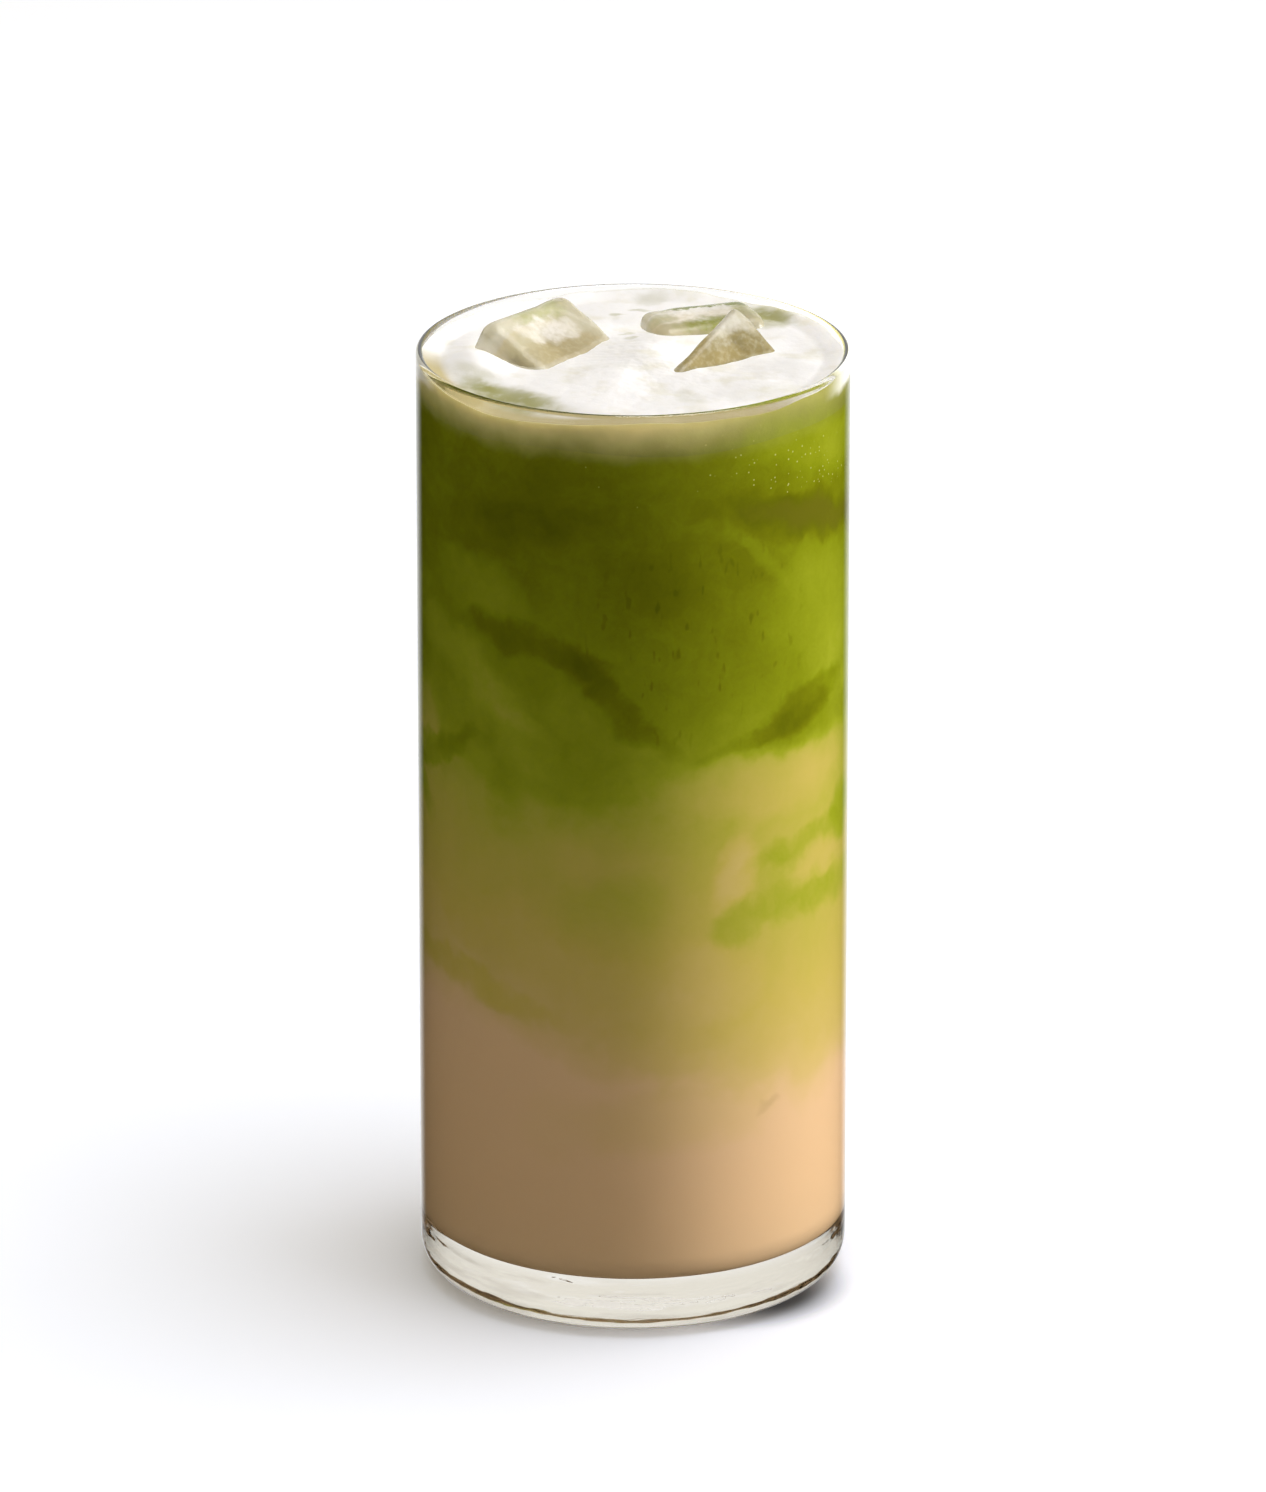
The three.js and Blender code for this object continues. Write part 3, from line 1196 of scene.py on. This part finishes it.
@dataclass
class IceCube:
    """A melting cube, smoothed from its CAD solid. Sizes are in metres."""

    node: str
    name: str
    grain: float = 0.40 * MM
    smoothing: int = 3
    growth: float = 0.55 * MM
    ripple: float = 0.22 * MM
    ripple_size: float = 4.5 * MM
    overlap: float = 0.12 * MM

    def body(self, grain: float) -> bpy.types.Object:
        """A closed, evenly meshed copy of the CAD solid.

        Args:
            grain: the size of its faces.

        Returns:
            The new object, with its modifiers applied.
        """
        shape = bmesh.new()
        shape.from_mesh(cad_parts[self.node].data)
        bmesh.ops.remove_doubles(shape, verts=shape.verts, dist=1e-6)
        mesh = bpy.data.meshes.new(self.name)
        shape.to_mesh(mesh)
        shape.free()
        piece = bpy.data.objects.new(self.name, mesh)
        bpy.context.scene.collection.objects.link(piece)
        remesh = piece.modifiers.new("even", "REMESH")
        remesh.mode = "VOXEL"
        remesh.voxel_size = grain
        settle(piece)
        return piece

    def melt(self, piece: bpy.types.Object, passes: int, inset: float) -> None:
        """Smooths a body, ripples its faces and draws them in.

        Args:
            piece: the body.
            passes: how many times it is smoothed.
            inset: how far its faces move inwards.
        """
        shape = bmesh.new()
        shape.from_mesh(piece.data)
        for _ in range(passes):
            bmesh.ops.smooth_vert(
                shape, verts=shape.verts, factor=0.5, use_axis_x=True, use_axis_y=True,
                use_axis_z=True,
            )
        shape.normal_update()
        for vert in shape.verts:
            swell = self.ripple * noise.noise(vert.co / self.ripple_size)
            vert.co += vert.normal * (swell - inset)
        shape.to_mesh(piece.data)
        shape.free()
        piece.data.shade_smooth()

    def cutter(self) -> bpy.types.Object:
        """A coarser body, a little smaller, that cuts the drink and the foam.

        Returns:
            The cutter.
        """
        piece = self.body(2.0 * self.grain)
        self.melt(piece, 2, self.overlap)
        return piece

    def build(self, material: bpy.types.Material) -> None:
        """Makes the cube and dresses it.

        Args:
            material: what it is dressed in.
        """
        piece = self.body(self.grain)
        self.melt(piece, self.smoothing, -self.growth)
        piece.data.materials.clear()
        piece.data.materials.append(material)
        place_on_body(piece, "ice", self.node)


@dataclass
class Drink:
    """The layers of drink and the foam, which reach just into the wall of the glass."""

    glass: Tumbler
    colours: DrinkColours
    reach: float = 0.35 * MM
    film: float = 0.05 * MM
    edge: float = 1.5 * MM
    steps: int = 256
    rings: int = 24
    foam_steps: int = 384
    foam_rings: int = 110
    corner_steps: int = 10

    @property
    def radius(self) -> float:
        """The radius of the drink, just inside the wall."""
        return self.glass.inner_radius + self.reach

    def layer(self, bottom: Surface, top: Surface, steps: int, rings: int) -> bmesh.types.BMesh:
        """A layer between two surfaces.

        Args:
            bottom: the height in millimetres of its underside over a place.
            top: the height in millimetres of its top over a place.
            steps: how finely it is divided round the axis.
            rings: how finely its top and underside are divided outwards.

        Returns:
            The closed body.
        """
        radius = self.radius
        radii = [radius * i / rings for i in range(rings + 1)]
        outline = [(r, 0.0) for r in radii] + [(r, 1.0) for r in reversed(radii)]
        shape = spun(outline, steps)
        for vert in shape.verts:
            surface = top if vert.co.z > 0.5 else bottom
            vert.co.z = surface(vert.co.x / MM, vert.co.y / MM) * MM
            reach = math.hypot(vert.co.x, vert.co.y)
            if reach > radius - self.edge:
                wide = (self.glass.inner_at(vert.co.z) + self.reach) / radius
                share = 1.0 - (radius - reach) / self.edge
                vert.co.xy *= 1.0 + (wide - 1.0) * share
        return shape

    def milk(self) -> bmesh.types.BMesh:
        """The lowest layer, which follows the rounded floor of the glass.

        Returns:
            The closed body.
        """
        centre = self.glass.inner_radius - self.glass.inner_rounding
        corner = arc(
            centre, self.glass.base + self.glass.inner_rounding,
            self.glass.inner_rounding - self.film, -90, 0, self.corner_steps,
            self.glass.inner_rounding + self.reach,
        )
        radii = [self.radius * i / self.rings for i in range(self.rings + 1)]
        outline = [(0.0, corner[0][1]), *corner, *[(r, 1.0) for r in reversed(radii)]]
        shape = spun(outline, self.steps)
        for vert in shape.verts:
            if vert.co.z > 0.5:
                vert.co.z = milk_top(vert.co.x / MM, vert.co.y / MM) * MM
        return shape

    def foam_surface(self, x: float, y: float) -> float:
        """The foam's top with its fine relief and its rise at the wall, in millimetres.

        Args:
            x: the place's X in millimetres.
            y: the place's Y in millimetres.

        Returns:
            The height there.
        """
        place = Vector((x, y, 0.0))
        lumps = 0.20 * noise.fractal(place / 8.0, 1.1, 2.1, 4)
        froth = 0.025 * noise.noise(place / 0.9)
        edge = max(math.hypot(x, y) - 30.2, 0.0) / 2.8
        climb = 0.22 + 0.85 / (1.0 + math.exp(-(y + 15.0) / 3.0))
        rise = climb * min(edge, 1.0) ** 2 * (1.0 + 0.3 * noise.noise(place / 6.0))
        return foam_top(x, y) + lumps + froth + rise + raised(x, y, BANKS)

    def build(self, cubes: list[IceCube]) -> None:
        """Makes the layers, cuts them round the ice and dresses them.

        Args:
            cubes: the ice that stands in them.
        """
        shared = self.colours.group()
        drink = DrinkFinish("swirled_drink", shared).material()
        foam = FoamFinish("milk_foam_finish", self.colours, shared).material()
        coarse, fine = (self.steps, self.rings), (self.foam_steps, self.foam_rings)
        milk = as_piece(self.milk(), "milk_body", drink)
        blend = as_piece(self.layer(milk_top, blend_top, *coarse), "blend_body", drink)
        matcha = as_piece(self.layer(blend_top, matcha_top, *coarse), "matcha_body", drink)
        cap = as_piece(self.layer(matcha_top, self.foam_surface, *fine), "foam_cap", foam)
        cutters = [cube.cutter() for cube in cubes]
        for piece in (matcha, cap):
            for cutter in cutters:
                cut = piece.modifiers.new("cut round " + cutter.name, "BOOLEAN")
                cut.operation = "DIFFERENCE"
                cut.solver = "MANIFOLD"
                cut.object = cutter
            settle(piece)
            smooth(piece.data)
        for cutter in cutters:
            bpy.data.objects.remove(cutter)
        place_on_body(milk, "milk", "milk_layer")
        place_on_body(blend, "blend", "blend_layer")
        place_on_body(matcha, "matcha", "matcha_layer")
        place_on_body(cap, "foam", "milk_foam")


# The studio


@dataclass(frozen=True)
class SoftBox:
    """A soft light aimed at the drink. Angles are in degrees, lengths in metres.

    A flagged light is unshadowed, and it leaves some objects alone.
    """

    name: str
    azimuth: float
    elevation: float
    distance: float
    width: float
    height: float
    power: float
    flagged: bool = False

    def build(self, target: Vector, kept_off: list[bpy.types.Object]) -> None:
        """Adds the light.

        Args:
            target: what it is aimed at.
            kept_off: the objects that a flagged light leaves alone.
        """
        lamp = bpy.data.lights.new(self.name, "AREA")
        lamp.shape = "RECTANGLE"
        lamp.size = self.width
        lamp.size_y = self.height
        lamp.energy = self.power
        lamp.use_shadow = not self.flagged
        turn, rise = math.radians(self.azimuth), math.radians(self.elevation)
        way = Vector(
            (math.sin(turn) * math.cos(rise), -math.cos(turn) * math.cos(rise), math.sin(rise))
        )
        holder = bpy.data.objects.new(self.name, lamp)
        holder.location = target + way * self.distance
        holder.rotation_euler = way.to_track_quat("Z", "Y").to_euler()
        holder.visible_transmission = False
        bpy.context.scene.collection.objects.link(holder)
        if self.flagged:
            group = bpy.data.collections.new(self.name + " kept off")
            for place, piece in enumerate(kept_off):
                group.objects.link(piece)
                group.collection_objects[place].light_linking.link_state = "EXCLUDE"
            holder.light_linking.receiver_collection = group


@dataclass(frozen=True)
class PaintedContactShadow:
    """A painted shadow: the soft dark patch on the floor by the foot of the glass.

    The azimuth is in degrees, 0 at the front and growing to the right. The patch follows
    the foot. It lies at a radius, and its half length and half width are in metres. Its
    core and its edge are in shares of them.
    """

    azimuth: float = 55.0
    radius: float = 0.0305
    length: float = 0.0200
    width: float = 0.0088
    core: float = 0.15
    edge: float = 1.15
    depth: float = 0.90

    def shadow_darkness(self, write: NodeWriter, place: object, away: object) -> bpy.types.NodeSocket:
        """How dark the painted shadow makes the floor at a place.

        Args:
            write: the writer of the floor's tree.
            place: the place in metres.
            away: its distance from the glass's axis.

        Returns:
            The darkness, from 0 to the patch's depth.
        """
        turn = math.radians(self.azimuth)
        ways = [(math.cos(turn), math.sin(turn), 0.0), (math.sin(turn), -math.cos(turn), 0.0)]
        along, outward = [
            write.add("VectorMath", {0: place, 1: way}, operation="DOT_PRODUCT").outputs["Value"]
            for way in ways
        ]
        out = write.calc("DIVIDE", write.calc("SUBTRACT", away, self.radius), self.width)
        side = write.calc("DIVIDE", along, self.length)
        total = write.calc("MULTIPLY_ADD", side, side, write.calc("MULTIPLY", out, out))
        patch = write.spread(write.calc("SQRT", total), self.core, self.edge, self.depth, 0.0)
        return write.calc("MULTIPLY", patch, write.spread(outward, 0.0, 0.01))


@dataclass
class Studio:
    """The camera, the lights, the surroundings and the floor."""

    elevation: float = 19.84
    distance: float = 1.946
    aim: float = 0.0900
    lens: float = 288.4
    backdrop: Colour = rgb(0.99, 0.99, 0.99)
    gathered: Colour = rgb(0.96, 0.93, 0.76)
    fill: Colour = rgb(0.27, 0.225, 0.12)
    floor_seen: Colour = rgb(1.00, 1.06, 1.26)
    floor_bounce: Colour = rgb(0.30, 0.21, 0.05)
    glow_near: float = 0.13
    glow: float = 0.30
    glow_start: float = 0.10
    glow_end: float = 0.60
    mirror_low: float = 0.82
    mirror_high: float = 0.95
    floor_size: float = 8.0
    floor_drop: float = 0.05 * MM
    # The painted contact shadow on the floor by the glass's foot
    painted_contact_shadow: PaintedContactShadow = PaintedContactShadow()
    lights: tuple[SoftBox, ...] = (
        SoftBox("sky", 90, 84, 1.3, 1.5, 1.5, 5.0),
        SoftBox("overhead", 84, 78, 1.3, 0.75, 0.75, 10.5),
        SoftBox("side_right", 90, 9, 1.15, 0.5, 0.30, 18.4, flagged=True),
    )

    def camera(self) -> None:
        """Adds the camera where the photo was taken from."""
        data = bpy.data.cameras.new("camera")
        data.lens = self.lens
        data.sensor_width = 36.0
        data.clip_start = 0.05
        data.clip_end = 50.0
        holder = bpy.data.objects.new("camera", data)
        rise = math.radians(self.elevation)
        holder.location = (
            0.0, -self.distance * math.cos(rise), self.aim + self.distance * math.sin(rise)
        )
        holder.rotation_euler = (math.pi / 2 - rise, 0.0, 0.0)
        bpy.context.scene.collection.objects.link(holder)
        bpy.context.scene.camera = holder

    def surroundings(self) -> None:
        """A pale room behind glass and in the picture, which hardly lights or mirrors."""
        world = bpy.data.worlds.new("room")
        world.use_nodes = True
        world.node_tree.nodes.clear()
        write = NodeWriter(world.node_tree)
        path = write.add("LightPath").outputs
        seen = write.calc("MAXIMUM", path["Is Camera Ray"], path["Is Transmission Ray"])
        scattered = write.calc("MINIMUM", path["Diffuse Depth"], 1.0)
        room = write.mix(scattered, self.backdrop, self.gathered)
        colour = write.mix(seen, self.fill, room)
        _, way, _ = write.split(write.add("TexCoord").outputs["Generated"])
        bright = write.spread(way, self.mirror_low, self.mirror_high)
        mirrored = write.mix(bright, BLACK, self.backdrop)
        reflected = write.calc(
            "SUBTRACT", path["Is Glossy Ray"], path["Is Transmission Ray"], clamp=True
        )
        colour = write.mix(reflected, colour, mirrored)
        back = write.add("Background", {"Color": colour, "Strength": 1.0})
        write.add("OutputWorld", {"Surface": back.outputs[0]})
        bpy.context.scene.world = world

    def floor(self) -> bpy.types.Object:
        """A plain pale floor that glows a little to the camera, with a painted shadow by the glass's
        foot.

        Returns:
            The floor.
        """
        shape = bmesh.new()
        bmesh.ops.create_grid(
            shape, x_segments=1, y_segments=1, size=self.floor_size / 2,
            matrix=Matrix.Translation((0.0, 0.0, -self.floor_drop)),
        )
        material, write = new_material("pale_floor")
        bounce = write.add("LightPath").outputs["Is Diffuse Ray"]
        colour = write.mix(bounce, self.floor_seen, self.floor_bounce)
        place = write.add("TexCoord").outputs["Object"]
        away = write.add("VectorMath", {0: place}, operation="LENGTH").outputs["Value"]
        glow = write.spread(away, self.glow_start, self.glow_end, self.glow_near, self.glow)
        # Painted shadow: the contact patch darkens the floor's colour and takes away its glow
        painted_shadow = self.painted_contact_shadow.shadow_darkness(write, place, away)
        colour = write.mix(painted_shadow, colour, BLACK)
        seen = write.calc("SUBTRACT", 1.0, bounce)
        seen = write.calc("MULTIPLY", seen, write.calc("SUBTRACT", 1.0, painted_shadow))
        matt = write.add("BsdfDiffuse", {"Color": colour})
        shine = write.add(
            "Emission", {"Color": self.backdrop, "Strength": write.calc("MULTIPLY", glow, seen)}
        )
        body = write.add("AddShader", {0: matt.outputs[0], 1: shine.outputs[0]})
        write.add("OutputMaterial", {"Surface": body.outputs[0]})
        piece = as_piece(shape, "floor", material)
        piece.visible_glossy = False
        return piece

    def build(self, glass: bpy.types.Object) -> None:
        """Sets the whole studio up round the glass.

        Args:
            glass: the glass, which a flagged light leaves alone.
        """
        self.camera()
        self.surroundings()
        kept_off = [self.floor(), glass]
        for light in self.lights:
            light.build(Vector((0.0, 0.0, self.aim)), kept_off)
        bpy.context.scene.view_settings.view_transform = "Standard"


def main() -> None:
    """Builds the studio, the glass, the ice and the drink."""
    logging.basicConfig(level=logging.INFO, format="%(name)s %(message)s")
    glass = Tumbler()
    Studio().build(glass.build())
    colours = DrinkColours()
    ice_material = IceFinish("melting_ice", colours.wisp).material()
    cubes = [
        IceCube("ice_left", "ice_cube_left"),
        IceCube("ice_right", "ice_wedge_right", grain=0.30 * MM, smoothing=2),
        IceCube("ice_back", "ice_slab_back", growth=0.1 * MM),
    ]
    for cube in cubes:
        cube.build(ice_material)
    Drink(glass, colours).build(cubes)


if __name__ == "__main__":
    main()
